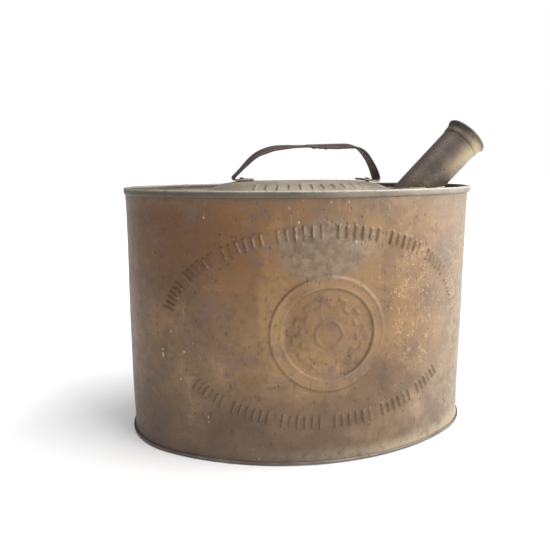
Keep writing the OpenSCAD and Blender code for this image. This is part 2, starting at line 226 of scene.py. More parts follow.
def halves_mm(node):
    """The points of a CAD node's left solid and those of its right one, with their side."""
    co = np.array([v.co for v in frame["nodes"][node].data.vertices]) / MM
    for side in (-1, 1):
        yield side, co[co[:, 0] * side > 0]


def arc_points(u, z, r, first, last, count):
    """Points of a section on an arc round (u, z), between two angles in degrees."""
    angles = np.radians(np.linspace(first, last, count))
    return [(u + r * math.cos(a), z + r * math.sin(a)) for a in angles]


def level(x, y, z):
    """Points above x and y at height z, one number or one for each point."""
    return np.stack([x, y, z + 0 * x], -1)


def make_piece(name, points, faces, nodes, material, sharp=None):
    """A smooth closed mesh on the root body that stands for CAD nodes."""
    mesh = bpy.data.meshes.new(name)
    mesh.from_pydata((np.asarray(points, float) * MM).tolist(), [], faces)
    bm = bmesh.new()
    bm.from_mesh(mesh)
    bmesh.ops.recalc_face_normals(bm, faces=bm.faces)
    bm.to_mesh(mesh)
    bm.free()
    mesh.polygons.foreach_set("use_smooth", [True] * len(mesh.polygons))
    if sharp is not None:
        mesh.set_sharp_from_angle(angle=math.radians(sharp))
    mesh.materials.append(material)
    piece = bpy.data.objects.new(name, mesh)
    bpy.context.collection.objects.link(piece)
    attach(piece, "root")
    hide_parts(*nodes)
    return piece


def give(piece, name, values):
    """Stores one number for each vertex, for the piece's material to read."""
    data = piece.data.attributes.new(name, "FLOAT", "POINT")
    values = np.concatenate([np.ravel(values), np.zeros(len(piece.data.vertices))])
    data.data.foreach_set("value", values[: len(piece.data.vertices)].astype(np.float32))


def shell(outer, inner, rows, cols, wrap):
    """Closes a fine outer grid with a coarse inner one whose rows and columns it shares."""
    n, m = outer.shape[:2]
    a, b = inner.shape[:2]
    fine = np.arange(n * m).reshape(n, m)
    coarse = np.arange(a * b).reshape(a, b) + n * m
    faces = grid_faces(n, m, wrap) + grid_faces(a, b, wrap, n * m)
    for end in (0, -1):
        faces += edge_faces(fine[end].tolist(), coarse[end].tolist(), cols, wrap)
    if not wrap:
        for end in (0, -1):
            faces += edge_faces(fine[:, end].tolist(), coarse[:, end].tolist(), rows, False)
    return np.concatenate([outer.reshape(-1, 3), inner.reshape(-1, 3)]), faces


# ---------------- the embossing

EMBOSS = 1.05
RING_R, RING_W, RING_Z = 36.0, 9.0, 81.5
ARCS_W = 101.0
UPPER_ARC = (168, 12, 61.0, 55)
LOWER_ARC = (217, 323, 55.0, 41)
GROUP = 7
BAR_W, BAR_L = 2.0, 9.0
GEAR_R, TOOTH_H, TEETH = 17.2, 4.6, 12
HUB_R = 8.0
CROWN_BARS, CROWN_STEP = 11, 5


def bar_places(arc):
    """Places and leans of an arc's bars on the unrolled front."""
    first, last, height, count = arc
    for i in range(count):
        if i % GROUP == GROUP - 1:
            continue
        t = math.radians(first + (last - first) * i / (count - 1))
        lean = math.atan2(-height * math.cos(t), ARCS_W * math.sin(t))
        yield ARCS_W * math.cos(t), RING_Z + height * math.sin(t), lean


def ridge(distance, half_width, slope):
    """A raised line or plateau, 1 on top, from the distance to its middle."""
    return smooth((half_width + slope / 2 - np.abs(distance)) / slope)


def front_relief(s, z):
    """Height of the embossing over the front, from 0 to 1."""
    x = BODY.side_r * np.sin(np.clip(s / BODY.side_r, -0.6, 0.6))
    r = np.hypot(x, z - RING_Z)
    t = np.arctan2(z - RING_Z, x)
    wander = 0.5 * waves(2.2 * np.cos(t), 2.2 * np.sin(t), 37)
    band = r - (RING_R - RING_W / 2) + wander
    total = 0.92 * ridge(band, RING_W / 2 - 0.7, 1.5)
    total -= 0.22 * ridge(band, RING_W / 2 - 2.4, 1.6)
    teeth = smooth(0.5 + 1.7 * np.sin(TEETH * t))
    gear = ridge(r - (GEAR_R + TOOTH_H * teeth), 0.9, 1.5) * (r > (GEAR_R + HUB_R) / 2)
    hub = ridge(r - HUB_R, 0.9, 1.5)
    total = np.maximum(total, 0.42 * np.maximum(gear, hub))
    for arc in (UPPER_ARC, LOWER_ARC):
        for i, (cs, cz, lean) in enumerate(bar_places(arc)):
            near = (np.abs(s - cs) < 8) & (np.abs(z - cz) < 8)
            if not near.any():
                continue
            ds, dz = s - cs, z - cz
            along = -ds * math.sin(lean) + dz * math.cos(lean)
            across = ds * math.cos(lean) + dz * math.sin(lean)
            length = BAR_L / 2 - 0.2 - 0.5 * (i % 3 == 1)
            over = np.maximum(np.abs(along) - length + BAR_W / 2, 0)
            height = 1 - 0.25 * (i % 5 == 3) - 0.15 * (i % 2)
            total = np.maximum(total, near * height * ridge(np.hypot(across, over), BAR_W / 2 - 0.3, 1.1))
    return total


def front_crease(s, z):
    """Shallow creases and a scuffed line that years of handling left."""
    total = 0.5 * ridge(z - (139 + 6.5 * smooth((s + 62) / 50)), 0.3, 1.6)
    total *= smooth((s + 66) / 10) * smooth((-14 - s) / 8)
    total -= 0.6 * ridge(np.hypot(s + 71, (z - 147) / 1.6), 1.2, 4)
    total -= 0.5 * ridge(np.hypot((s - 70) / 2.2, z - 139), 1.0, 5)
    total -= 0.5 * ridge(np.hypot(s + 84, (z - 60) / 2), 2.0, 9)
    return total


# ---------------- the wall


def wall_heights(step):
    """Heights of the wall's rows, close together over the flare."""
    low = np.linspace(FOOT_Z, FLARE_H, 13)
    rest = np.linspace(FLARE_H, CREST_Z - 0.9, int((CREST_Z - FLARE_H) / step))
    return np.concatenate([low, rest[1:]])


def wall_u(z):
    """Offset of the wall's outer face at height z: the flare at the foot."""
    s = np.clip((FLARE_H - z) / (FLARE_H - FOOT_Z), 0, 1)
    return FOOT_U * s * s


def clear_of_seams(z):
    """1 over the open wall, 0 at the foot and under the top seam."""
    return smooth((z - 8) / 12) * smooth((SEAM_LOW - 1.1 - z) / 10)


def make_wall(name, node, first, last, s, step, relief, seed, material):
    """One of the two sheets of the wall, from distance first to last along the oval."""
    z = wall_heights(step)
    ss, zz = np.meshgrid(s, z)
    raised = relief(ss, zz)
    free = clear_of_seams(zz)
    dents = 0.32 * waves(ss / 38, zz / 30, seed) + 0.16 * waves(ss / 14, zz / 13, seed + 1)
    u = wall_u(zz) + free * dents + EMBOSS * raised
    if relief is front_relief:
        u += 0.45 * front_crease(ss, zz) * free
    edge = np.minimum(ss - first, last - ss)
    u -= 0.34 * (1 - smooth(edge / 0.7)) * smooth((SEAM_LOW - 0.6 - zz) / 2)
    u += 0.22 * ridge(edge - 2.6, 1.7, 2.0) * free
    x, y = BODY.at(ss, u)
    outer = np.stack([x, y, zz], -1)
    rows = picks_of(len(z), 10)
    cols = picks_of(len(s), 8)
    si, zi = np.meshgrid(s[cols], z[rows])
    xi, yi = BODY.at(si, wall_u(zi) - SHEET)
    inner = np.stack([xi, yi, zi], -1)
    points, faces = shell(outer, inner, rows, cols, False)
    piece = make_piece(name, points, faces, [node], material, 50)
    # slope of the embossing, which the material paints darker as dirt and painted shade
    slope = np.hypot(*np.gradient(raised)) * 2.2
    give(piece, "raised", raised)
    give(piece, "edge", np.clip(slope, 0, 1))
    # 1 at the foot's flare, where the material paints a reflection of the floor, rubbed tin and shade on
    # the left
    give(piece, "foot", smooth((11 - zz) / 6))
    give(piece, "seam", 1 - smooth(edge / 3.0))
    return piece


def uneven(coarse_to, fine_to, coarse, fine):
    """Distances along the wall: fine within fine_to of the middle, coarse beyond."""
    middle = np.linspace(-fine_to, fine_to, int(2 * fine_to / fine) + 1)
    tail = np.linspace(fine_to, coarse_to, int((coarse_to - fine_to) / coarse) + 1)[1:]
    tail = np.concatenate([tail, coarse_to + np.array([0.25, 0.5, 0.75])])
    return np.concatenate([-tail[::-1], middle, tail])


# ---------------- top and bottom


def rim_profile():
    """The top seam's section, from under its outer edge over the crest to the panel."""
    out = SEAM_OUT - BEND
    top = CREST_Z - BEND
    corner = 0.7
    points = [(0.1, SEAM_LOW + 0.1), (0.5, SEAM_LOW), (out, SEAM_LOW)]
    points += arc_points(out, SEAM_LOW + BEND, BEND, -80, 0, 5)
    for z in (1.5, 2.3, 3.0):
        points.append((SEAM_OUT + 0.05 * math.sin((z - BEND) * 1.6), SEAM_LOW + z))
    points += arc_points(out, top, BEND, 0, 90, 7)
    points.append((0.3, CREST_Z))
    points += arc_points(CHUCK_IN + BEND, top, BEND, 90, 180, 7)
    points += [(CHUCK_IN, CREST_Z - drop) for drop in (1.7, 2.4, 3.05)]
    points += arc_points(CHUCK_IN - corner, PANEL_Z + corner, corner, -10, -90, 5)
    return points


def crown(v):
    """Height of the crown at a distance v inwards from its outline."""
    return PANEL_Z + DOME_H * (1 - (1 - np.clip(v / DOME_RUN, 0, 1)) ** 3)


def crown_relief(arc, v):
    """Embossed bars along the front and back of the crown, from 0 to 1."""
    total = np.zeros(np.broadcast(arc, v).shape)
    for middle in (0.0, 2 * DOME.quarter):
        d = np.mod(arc - middle + DOME.length / 2, DOME.length) - DOME.length / 2
        turn = d / DOME.side_r
        for i in range(CROWN_BARS):
            bar_turn = math.radians(CROWN_STEP * (i - CROWN_BARS // 2))
            across = (turn - bar_turn) * (DOME.side_r - v)
            over = np.maximum(np.abs(v - 8) - 3.2, 0)
            lobe = ridge(np.hypot(across, over), 0.85, 1.2) * (np.abs(d) < DOME.side)
            total = np.maximum(total, lobe)
    return total


def make_top(material):
    """The top panel with its seam, border and embossed crown."""
    cols = 536
    arc = np.linspace(0, DOME.length, cols, endpoint=False)
    around = arc * BODY.length / DOME.length
    worn_end = np.exp(-(((around - 3 * BODY.quarter) / 34) ** 2))
    none = np.zeros(cols)
    rows, rim, recess_shade, relief = [], [], [], []
    for u, z in rim_profile():
        outside = u > 0
        wobble = 0.07 * waves(around / 9, z / 3, 31) + 0.10 * waves(around / 31, z / 5, 32)
        wobble *= smooth((z - SEAM_LOW - 0.3) / 0.8) * (0.4 if outside else 1)
        x, y = BODY.at(around, wobble + u * (1 - 0.5 * worn_end * outside))
        drop = 0.10 * waves(around / 17, none, 33) - 0.14
        rows.append(level(x, y, z + drop * smooth((z - CREST_Z + 2) / 2)))
        rim.append(none + (1 if outside else smooth((z - CREST_Z + 1.4) / 1.2)))
        # 1 down the countersink's wall, where the material paints shade
        recess_shade.append(none + (not outside) * (1 - smooth((z - CREST_Z + 2.2) / 1.6)))
        relief.append(none)
    bx, by = BODY.at(around, CHUCK_IN - 0.7)
    dx, dy = DOME.at(arc, 0.9)
    for w in np.linspace(0.06, 1, 16):
        x, y = bx + (dx - bx) * w, by + (dy - by) * w
        dip = 0.22 * waves(x / 16, y / 16, 35) * smooth(w * 4) * smooth((1.02 - w) * 5)
        rows.append(level(x, y, PANEL_Z + dip - 0.05 * smooth(w * 4)))
        recess_shade.append(1 - smooth(np.hypot(x - bx, y - by) / 7))
        relief.append(none)
    vs = np.concatenate([[-0.35, 0.3], np.arange(0.9, 15, 0.62), np.arange(15.6, DOME_RUN + 0.1, 2.3)])
    for v in vs:
        x, y = DOME.at(arc, -v)
        raised = crown_relief(arc, np.full(cols, v))
        sag = (0.28 * waves(x / 22, y / 22, 36) - DOME_SAG) * smooth(v / 6)
        rows.append(level(x, y, crown(v) + EMBOSS * 0.9 * raised + sag))
        relief.append(raised)
    x, y = DOME.at(arc, -vs[-1])
    for w in (0.8, 0.6, 0.4, 0.2):
        z = DOME_TOP - DOME_SAG + 0.28 * waves(x * w / 22, y * w / 22, 36)
        rows.append(level(x * w, y * w, z))
        relief.append(none)
    picks = list(range(0, cols, 8))
    hook = CREST_Z - 0.7
    skin = [(SEAM_GAP, SEAM_LOW + 0.1), (SEAM_GAP, hook), (CHUCK_OUT, hook), (CHUCK_OUT, PANEL_Z - 0.2)]
    skin.append((CHUCK_IN - 0.9, PANEL_Z - SHEET))
    under = [level(*BODY.at(around[picks], u), z) for u, z in skin]
    for v in (0, 3, 7, 12, 18, 25, 33.9):
        under.append(level(*DOME.at(arc[picks], -v), crown(v) - SHEET - SKIN_GAP))
    hubs = (DOME_TOP - DOME_SAG, DOME_TOP - SHEET - SKIN_GAP)
    points, faces = sealed(np.array(rows), np.array(under), picks, *hubs)
    piece = make_piece("top_with_crown", points, faces, ["top_panel"], material)
    give(piece, "raised", relief)
    # slope of the crown's bars, which the material paints darker as dirt and painted shade
    give(piece, "edge", np.clip(np.hypot(*np.gradient(np.array(relief))) * 2, 0, 1))
    give(piece, "rim", rim)
    give(piece, "recess_shade", recess_shade)
    return piece


def bottom_profile():
    """The foot's section: hem outside the flare, ground ring and the raised panel."""
    points = [(1.2, HEM_H - 0.15), (1.35, HEM_H), (1.55, HEM_H - 0.15)]
    points += arc_points(SEAM_OUT - BEND, BEND, BEND, 0, -90, 7)
    points.append((0.1, 0.0))
    points += arc_points(CHUCK_IN + 0.6, 0.6, 0.6, 270, 180, 5)
    points += [(CHUCK_IN, 2.0), (CHUCK_IN, 3.2), (CHUCK_IN - 0.25, 3.75), (CHUCK_IN - 0.8, 4.0)]
    return points


def make_bottom(material):
    """The bottom panel, folded up outside the foot of the wall."""
    cols = 480
    s = np.linspace(0, BODY.length, cols, endpoint=False)
    rows = []
    for u, z in bottom_profile():
        wobble = 0.09 * waves(s / 11, z / 2 + 0 * s, 41) * smooth((z - 0.3) / 1.2)
        rows.append(level(*BODY.at(s, u + wobble), z))
    for v in (4, 8, 14, 22, 32, 44, 56):
        x, y = BODY.at(s, CHUCK_IN - v)
        dip = 0.5 * waves(x / 30, y / 30, 42) * smooth((v - 2) / 12)
        rows.append(level(x, y, BOTTOM_Z - SHEET + dip))
    picks = list(range(0, cols, 8))
    skin = [(1.15, HEM_H - 0.3), (1.15, SHEET), (CHUCK_OUT, SHEET), (CHUCK_OUT, BOTTOM_Z)]
    skin += [(CHUCK_IN - v, BOTTOM_SKIN_Z) for v in (10, 30, 54)]
    under = [level(*BODY.at(s[picks], u), z) for u, z in skin]
    points, faces = sealed(np.array(rows), np.array(under), picks, BOTTOM_Z - SHEET, BOTTOM_SKIN_Z)
    return make_piece("bottom_with_hem", points, faces, ["bottom_panel"], material)


# ---------------- the spout

SPOUT_R = 13.5
BORE_R = 13.0
MOUTH = next(m for m in frame["record"]["mounts"] if m["name"] == "spout_mouth")
AXIS = np.array(MOUTH["axis"])
ACROSS = np.array([AXIS[2], 0.0, -AXIS[0]])
CREST_POINT = np.array(MOUTH["pos_m"]) / MM - 25 * AXIS
TUBE_END = 45.0
ROLL_V = 47.0
COLLAR_V = ROLL_V - 6.8
TUBE_LOW_Z = 160.2


def spout_point(t, r, v):
    """A point at angle t round the spout, distance r from its axis and v along it."""
    t, r, v = np.broadcast_arrays(t, r, v)
    ring = np.cos(t)[..., None] * ACROSS + np.sin(t)[..., None] * np.array([0.0, 1.0, 0.0])
    return CREST_POINT + v[..., None] * AXIS + r[..., None] * ring


def level_v(t, r, z):
    """How far along the spout the points at angle t and distance r reach height z."""
    return (z - CREST_POINT[2] - r * np.cos(t) * ACROSS[2]) / AXIS[2]


def tube_dents(t, v):
    """Slight unevenness of the tube, none at its two joints."""
    free = smooth((v - 4) / 6) * smooth((40 - v) / 4)
    return free * (0.16 * waves(3 * np.cos(t) + v / 9, 3 * np.sin(t) + v / 14, 51) - 0.1)


def make_spout(material):
    """The leaning tube, cut level below the top panel, with a soldered lap seam."""
    cols = 128
    t = full_turn(cols)
    outer, inner = [], []
    lap = 0.28 * ridge(np.mod(t - 2.2 + math.pi, 2 * math.pi) - math.pi, 0.10, 0.06)
    for w in np.linspace(0, 1, 45):
        for rows, r in ((outer, SPOUT_R), (inner, BORE_R)):
            low = level_v(t, r, TUBE_LOW_Z)
            v = low + (TUBE_END - low) * w
            bend = tube_dents(t, v)
            seam = lap * smooth((39.5 - v) / 1.5) if rows is outer else 0
            rows.append(spout_point(t, r + bend + seam, v))
    outer, inner = np.array(outer), np.array(inner)
    picks = list(range(cols))
    points, faces = shell(outer, inner, picks, picks, True)
    return make_piece("spout_tube_worn", points, faces, ["spout_tube"], material, 60)


def make_mouth_ring(material):
    """Collar, concave flare and rolled lip of the spout's mouth."""
    rises = ((13.62, 0), (13.8, 0.02), (13.98, 0.12), (14.05, 0.4), (14.05, 1.6))
    profile = [(r, COLLAR_V + v) for r, v in rises]
    profile += arc_points(17.05, ROLL_V - 3.8, 3, 180, 140, 7)
    profile += arc_points(14.3, ROLL_V, 1.2, -60, 180, 22)
    profile += [(13.1, ROLL_V - 0.8), (13.3, ROLL_V - 1.3), (13.55, ROLL_V - 1.6), (13.56, ROLL_V - 4)]
    cols = 144
    t = full_turn(cols)
    rows = []
    for r, v in profile:
        worn = 0.07 * waves(4 * np.cos(t), 4 * np.sin(t) + v / 3, 52)
        out = smooth((r - 14.1) / 1)
        rows.append(spout_point(t, r + worn * out, v + 0.5 * worn * out))
    points = np.array(rows).reshape(-1, 3)
    faces = ring_faces(len(rows), cols)
    piece = make_piece("spout_mouth_roll", points, faces, ["spout_mouth_ring"], material)
    give(piece, "bead", [np.full(cols, smooth((v - ROLL_V + 2.2) / 1.2)) for _, v in profile])
    return piece


def ring_piece(name, section, cols, nodes, material):
    """A closed ring from a function that gives the section's points at each angle."""
    t = full_turn(cols)
    rows = np.array(section(t))
    return make_piece(name, rows.reshape(-1, 3), ring_faces(len(rows), cols), nodes, material)


def spout_fillet(t):
    """The lumpy fillet of solder where the tube meets the level panel."""
    lumps = 1 + 0.28 * waves(5 * np.cos(t), 5 * np.sin(t), 61)
    lumps += 0.12 * waves(14 * np.cos(t), 14 * np.sin(t), 62)
    rows = []
    section = ((1.9, -0.12), (1.75, 0.22), (1.2, 0.5), (0.65, 0.95), (0.25, 1.6), (-0.05, 2.1), (-0.5, 2.1))
    for rise, out in section:
        up = rise * (lumps if rise > 0 else 1)
        wide = out * (lumps if out > 0 else 1)
        r = SPOUT_R + np.minimum(wide, 2.4)
        rows.append(spout_point(t, r, level_v(t, r, PANEL_Z + up)))
    r = SPOUT_R - 0.12
    rows.append(spout_point(t, r, level_v(t, r, PANEL_Z - 0.5)))
    return rows


def collar_solder(t):
    """A thin uneven run of solder at the collar's edge."""
    lumps = 1 + 0.5 * waves(6 * np.cos(t), 6 * np.sin(t), 63)
    rows = []
    for back, out in ((0.9, -0.1), (0.7, 0.12), (0.3, 0.34), (0.0, 0.5), (-0.12, 0.45), (-0.12, -0.1)):
        rows.append(spout_point(t, SPOUT_R + out, COLLAR_V - back * (lumps if back > 0 else 1)))
    return rows


# ---------------- the handle


def handle_outline():
    """The strap's outline in the XZ plane, read round the CAD strap's far side."""
    mesh = frame["nodes"]["handle_strap"].data
    far = max(v.co.y for v in mesh.vertices)
    on_side = {v.index for v in mesh.vertices if abs(v.co.y - far) < 1e-6}
    uses = {}
    for polygon in mesh.polygons:
        if all(i in on_side for i in polygon.vertices):
            for key in polygon.edge_keys:
                uses[key] = uses.get(key, 0) + 1
    place = {}
    for i in on_side:
        co = mesh.vertices[i].co
        place[i] = (round(co.x / MM, 3), round(co.z / MM, 3))
    links = {}
    for (a, b), count in uses.items():
        if count == 1:
            links.setdefault(place[a], []).append(place[b])
            links.setdefault(place[b], []).append(place[a])
    start = min(links)
    loop = [start]
    before, here = None, start
    while True:
        after = [p for p in links[here] if p != before and p != here][0]
        if after == start or len(loop) > len(links):
            return np.array(loop)
        loop.append(after)
        before, here = here, after


def handle_middle():
    """The strap's middle line from its left foot to its right foot."""
    loop = handle_outline()
    n = len(loop) // 2
    best = None
    for shift in range(len(loop)):
        turned = np.roll(loop, -shift, axis=0)
        pairs = np.linalg.norm(turned[:n] - turned[::-1][:n], axis=1)
        if best is None or pairs.max() < best[0]:
            best = (pairs.max(), (turned[:n] + turned[::-1][:n]) / 2)
    line = best[1]
    return line if line[0, 0] < line[-1, 0] else line[::-1]


def resample(line, step):
    """The same line with points at even distances, its corners slightly eased."""
    length = np.concatenate([[0], np.cumsum(np.linalg.norm(np.diff(line, axis=0), axis=1))])
    at = np.linspace(0, length[-1], int(length[-1] / step) + 1)
    points = np.stack([np.interp(at, length, line[:, i]) for i in range(2)], -1)
    for _ in range(4):
        points[1:-1] = (points[:-2] + 2 * points[1:-1] + points[2:]) / 4
    return at, points


def make_handle(material):
    """The flat strap with rounded edges, a slight twist and hammer marks."""
    at, line = resample(handle_middle(), 0.7)
    lo, hi = box_mm("handle_strap")
    half_w = (hi[1] - lo[1]) / 2
    half_t = 0.6
    tangent = np.gradient(line, axis=0)
    tangent /= np.linalg.norm(tangent, axis=1)[:, None]
    normal = np.stack([-tangent[:, 1], tangent[:, 0]], -1)
    section = []
    corner = 0.45
    for cy, cn, first in ((1, 1, 0), (-1, 1, 90), (-1, -1, 180), (1, -1, 270)):
        for a in np.radians(np.linspace(first, first + 90, 4)):
            y = cy * (half_w - corner) + corner * math.cos(a)
            section.append((y, cn * (half_t - corner) + corner * math.sin(a)))
        if first == 0:
            section += [(half_w * w, half_t) for w in (0.66, 0.33, 0, -0.33, -0.66)]
        if first == 180:
            section += [(half_w * w, -half_t) for w in (-0.66, -0.33, 0, 0.33, 0.66)]
    free = smooth((at - 16) / 12) * smooth((at[-1] - 16 - at) / 12)
    turn_at = (-44, -34, -25, -14, -4, 4, 12, 25, 36, 46)
    turn = np.interp(line[:, 0], turn_at, (0, 4, 9, 9, 5, 4, 9, 11, 10, 2))
    twist = np.radians(turn) * free
    fall = half_w * np.maximum(np.sin(twist) - 0.105, 0)
    rows = []
    for y, n in section:
        wave = 0.10 * waves(at / 7, np.full(len(at), y / 6), 71) * free
        narrow = 1 - 0.05 * free * (1 + waves(at / 25, 0 * at, 72)) / 2
        yy = y * narrow * np.cos(twist) - n * np.sin(twist)
        nn = y * np.sin(twist) + (n + wave) * np.cos(twist) - fall
        if n < -0.5:
            for bump in (8.6, 17.1):
                nn = nn - 0.8 * np.exp(-(((line[:, 0] - bump) / 1.3) ** 2)) * (abs(y) < half_w * 0.8)
        rows.append(np.stack([line[:, 0] + normal[:, 0] * nn, yy, line[:, 1] + normal[:, 1] * nn], -1))
    grid = np.array(rows)
    n, m = grid.shape[:2]
    faces = grid_faces(n, m, False)
    faces += [[(n - 1) * m + i, (n - 1) * m + i + 1, i + 1, i] for i in range(m - 1)]
    faces += [[i * m for i in range(n)], [i * m + m - 1 for i in range(n)]]
    points = grid.reshape(-1, 3)
    piece = make_piece("handle_strap_worn", points, faces, ["handle_strap"], material, 70)
    side = np.array([np.full(m, abs(y) / half_w) for y, _ in section])
    give(piece, "side", smooth((side - 0.86) / 0.14))
    give(piece, "tinned", np.array([1 - smooth((line[:, 1] - lo[2] - 2.2) / 1.6)] * n))
    return piece


def rivet_frames():
    """Middle of each rivet's head and the direction that it points, from the CAD rivets."""
    for _, mine in halves_mm("handle_rivets"):
        centre = (mine.max(axis=0) + mine.min(axis=0)) / 2
        spread = np.linalg.svd(mine - mine.mean(axis=0))[2]
        axis = max(spread, key=lambda d: abs(d[2]))
        axis = axis * np.sign(axis[2])
        reach = (mine - centre) @ axis
        yield centre + axis * reach.max(), centre + axis * reach.min(), axis


def make_rivets(material):
    """Two hammered rivets, head above the strap and tail under the panel."""
    cols = 40
    t = full_turn(cols)
    points, faces = [], []
    for number, (tip, tail, axis) in enumerate(rivet_frames()):
        side = np.cross([0, 1, 0], axis)
        side /= np.linalg.norm(side)
        length = np.linalg.norm(tip - tail)
        profile = [(0.5, 0.0), (1.1, -0.06), (1.7, -0.22), (2.15, -0.45), (2.42, -0.72), (2.5, -0.95)]
        profile += [(2.45, -1.02), (1.25, -1.04), (1.25, 0.8 - length), (2.2, 0.78 - length)]
        profile += [(2.2, 0.15 - length), (2.0, -length)]
        faces += capped(len(profile), cols, len(points))
        for r, h in profile:
            flat = 1 + 0.05 * waves(3 * np.cos(t), 3 * np.sin(t) + r, 81 + number)
            dip = 0.10 * waves(2 * np.cos(t) * r, 2 * np.sin(t) * r, 83 + number) if h > -0.5 else 0
            ring = np.cos(t)[:, None] * side + np.sin(t)[:, None] * np.array([0, 1.0, 0])
            height = h - 0.04 + np.minimum(dip, 0) + 0 * t
            points += (tip + (r * flat)[:, None] * ring + height[:, None] * axis).tolist()
    piece = make_piece("handle_rivets_worn", points, faces, ["handle_rivets"], material, 60)
    give(piece, "tinned", np.ones(len(points)))
    return piece


def make_foot_solder(material):
    """A rounded lump of solder under the inner end of each foot."""
    points, faces = [], []
    rows, cols = 11, 28
    for side, mine in halves_mm("handle_foot_solder"):
        lo, hi = mine.min(axis=0), mine.max(axis=0)
        centre = (lo + hi) / 2
        half = (hi - lo) / 2 * np.array([1.5, 0.98, 1.15])
        faces += capped(rows, cols, len(points))
        for a in np.linspace(-math.pi / 2, math.pi / 2, rows + 2)[1:-1]:
            for b in full_turn(cols):
                d = np.array([math.cos(a) * math.cos(b), math.sin(a), math.cos(a) * math.sin(b)])
                d = np.sign(d) * np.abs(d) ** 0.72
                lump = 1 + 0.12 * float(waves(np.array(d[0] * 3 + side), np.array(d[1] * 9), 91))
                points.append((centre + half * d * lump).tolist())
    return make_piece("handle_foot_lumps", points, faces, ["handle_foot_solder"], material)


# ---------------- materials


def linear(r, g, b):
    """An sRGB colour, 0 to 255, as a linear one."""
    made = []
    for c in (r, g, b):
        c = c / 255
        made.append(c / 12.92 if c <= 0.04045 else ((c + 0.055) / 1.055) ** 2.4)
    return (*made, 1.0)


class Nodes:
    """A short way to write a material's node tree, with its colour laid on in coats."""

    def __init__(self, name):
        self.material = bpy.data.materials.new(name)
        self.material.use_nodes = True
        self.tree = self.material.node_tree
        self.where = self.new("TexCoord").outputs["Object"]
        self.colour = None

    def new(self, kind, **values):
        """A new node of one kind with some of its inputs set or linked."""
        node = self.tree.nodes.new("ShaderNode" + kind)
        self.fill(node, values)
        return node

    def fill(self, node, values):
        """Sets or links inputs by name, with _ for a space."""
        for name, value in values.items():
            self.put(node.inputs[name.replace("_", " ")], value)

    def put(self, socket, value):
        if isinstance(value, bpy.types.NodeSocket):
            self.tree.links.new(value, socket)
        else:
            socket.default_value = value

    def done(self, **values):
        """The finished material, its shader's inputs set or linked."""
        self.fill(self.tree.nodes["Principled BSDF"], values)
        return self.material

    def stretched(self, x, y, z):
        """Object coordinates scaled apart, for drawn-out patterns."""
        return self.new("Mapping", Scale=(x, y, z), Vector=self.where).outputs["Vector"]

    def noise(self, scale, detail=4.0, rough=0.55, where=None, warp=0.0, shift=0.0):
        node = self.new("TexNoise", Scale=scale, Detail=detail, Roughness=rough, Distortion=warp)
        node.noise_dimensions = "4D"
        self.fill(node, {"W": shift, "Vector": where or self.where})
        return node.outputs["Fac"]

    def specks(self, scale, size, share, where=None):
        """1 in small round specks, in the given share of a cell pattern's cells."""
        node = self.new("TexVoronoi", Scale=scale, Vector=where or self.where)
        spot = self.ramp(node.outputs["Distance"], ((size * 0.5, 1), (size, 0)))
        split = self.new("SeparateColor", Color=node.outputs["Color"])
        return self.times(spot, self.ramp(split.outputs["Red"], ((share, 1), (share + 0.02, 0))))

    def ramp(self, value, stops):
        """Maps a number through stops of (position, number or sRGB colour)."""
        node = self.new("ValToRGB", Fac=value)
        ramp = node.color_ramp
        while len(ramp.elements) < len(stops):
            ramp.elements.new(0.5)
        for element, (position, colour) in zip(ramp.elements, stops, strict=True):
            element.position = position
            element.color = linear(*colour) if isinstance(colour, tuple) else (colour, colour, colour, 1)
        return node.outputs["Color"]

    def math(self, operation, a, b=0.0):
        node = self.new("Math")
        node.operation = operation
        self.put(node.inputs[0], a)
        self.put(node.inputs[1], b)
        return node.outputs["Value"]

    def times(self, a, b):
        return self.math("MULTIPLY", a, b)

    def scaled(self, value, by, plus):
        return self.math("ADD", self.times(value, by), plus)

    def mix(self, share, a, b):
        """Colour a where share is 0, colour b where it is 1."""
        node = self.new("Mix")
        node.data_type = "RGBA"
        self.fill(node, {"Factor": share, "A": a, "B": b})
        return node.outputs["Result"]

    def coat(self, mask, share, rgb):
        """Lays an sRGB colour over the colour so far, as far as mask times share says."""
        self.colour = self.mix(self.times(mask, share), self.colour, linear(*rgb))

    def attribute(self, name):
        node = self.new("Attribute")
        node.attribute_name = name
        return node.outputs["Fac"]

    def axis(self, name):
        """One coordinate of the point, in metres."""
        return self.new("SeparateXYZ", Vector=self.where).outputs[name]

    def bump(self, height, distance, under=None):
        node = self.new("Bump", Distance=distance, Height=height)
        if under is not None:
            self.fill(node, {"Normal": under})
        return node.outputs["Normal"]

    def between(self, value, low, high):
        """0 up to low, 1 from high on. Works downwards too."""
        node = self.new("MapRange", Value=value, From_Min=low, From_Max=high)
        node.interpolation_type = "SMOOTHSTEP"
        return node.outputs["Result"]

    def spot(self, centre, size, ragged):
        """1 inside a ragged blot of the given half sizes, in millimetres."""
        node = self.new("Mapping", Vector=self.where, Scale=[c * MM for c in size])
        node.vector_type = "TEXTURE"
        node.inputs["Location"].default_value = [c * MM for c in centre]
        length = self.new("VectorMath")
        length.operation = "LENGTH"
        self.put(length.inputs[0], node.outputs["Vector"])
        far = self.math("ADD", length.outputs["Value"], self.times(ragged, 1.1))
        return self.between(far, 1.75, 1.3)


